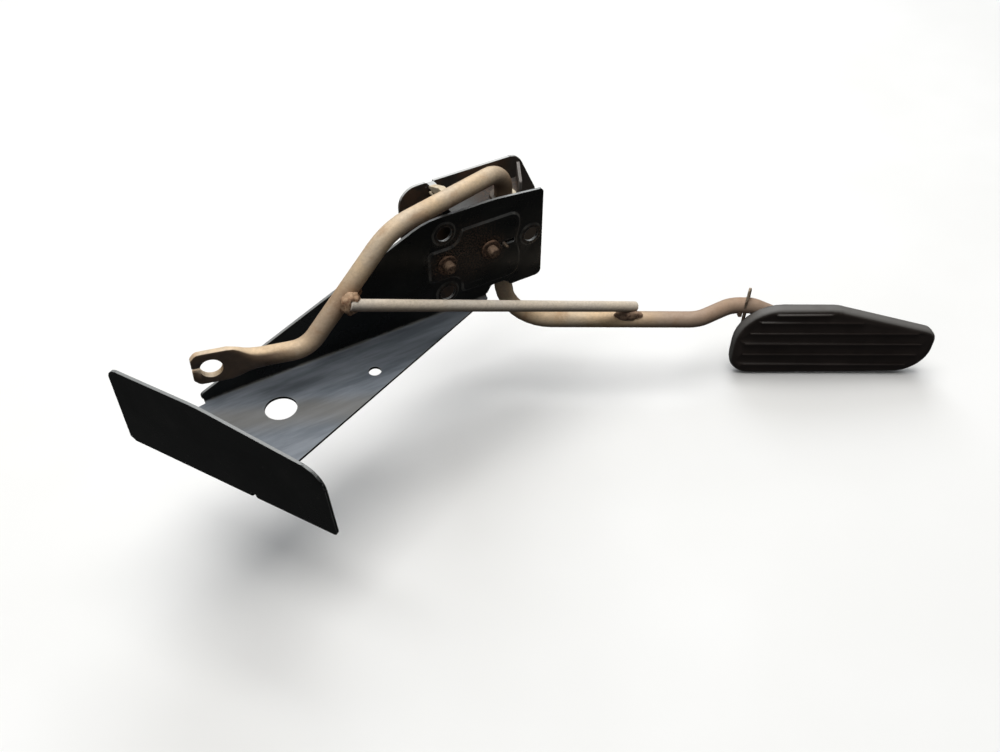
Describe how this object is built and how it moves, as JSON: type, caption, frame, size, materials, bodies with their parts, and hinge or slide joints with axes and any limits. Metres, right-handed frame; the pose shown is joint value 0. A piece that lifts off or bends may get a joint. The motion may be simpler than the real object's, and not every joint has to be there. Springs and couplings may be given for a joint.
{
  "type": "accelerator pedal",
  "caption": "Rod-type accelerator pedal with a ribbed rubber pad and a slotted cable eye, pivoting in a folded sheet-steel bracket with a return spring.",
  "frame": {"origin": "centre of the bracket wall's three bolt holes, on the wall's driver-side face", "axes": "+X along the wall from the cable eye towards the pad, +Y through the wall away from the driver, +Z along the pivot axle towards the upper arm"},
  "size_m": [0.4574, 0.1554, 0.1565],
  "materials": {
    "bracket_paint": "worn semi-gloss black paint, scratched and dusty",
    "rear_plate_paint": "dull black paint",
    "channel_paint": "dull grey with rust",
    "rod_steel": "dull zinc-yellow plating turning to light rust",
    "brace_steel": "dull plating, lightly stained",
    "weld_steel": "rough weld, rusty",
    "rivet_steel": "dull, rusty",
    "washer_steel": "rusty brown",
    "spring_steel": "bare spring wire",
    "nylon": "aged cream nylon",
    "pad_rubber": "matt charcoal rubber",
    "backing_steel": "dull plating, rust at the ear"
  },
  "bodies": {
    "bracket": {"main_bracket": "bracket_paint", "rear_plate": "rear_plate_paint", "pivot_channel": "channel_paint", "channel_rivet_left": "rivet_steel", "channel_rivet_right": "rivet_steel", "rivet_washer_left": "washer_steel", "rivet_washer_right": "washer_steel", "upper_bush": "nylon", "lower_bush": "nylon", "idle_stop_pad": "nylon", "return_spring": "spring_steel"},
    "pedal": {"pedal_rod": "rod_steel", "brace_rod": "brace_steel", "upper_brace_weld": "weld_steel", "upper_brace_tack": "weld_steel", "lower_brace_weld": "weld_steel", "pad_backing_plate": "backing_steel", "pad_ear_weld": "weld_steel", "rod_end_weld": "weld_steel", "pedal_pad": "pad_rubber"}
  },
  "joints": [
    {"name": "pedal_pivot", "type": "hinge", "parent": "bracket", "child": "pedal", "pos_m": [0.0251, 0.012, -0.00153], "axis": [0, 0, 1], "range_deg": [0, 20], "stiffness_Nm_per_rad": 0.25, "springref_deg": -57.3, "deforming": ["return_spring"]}
  ]
}
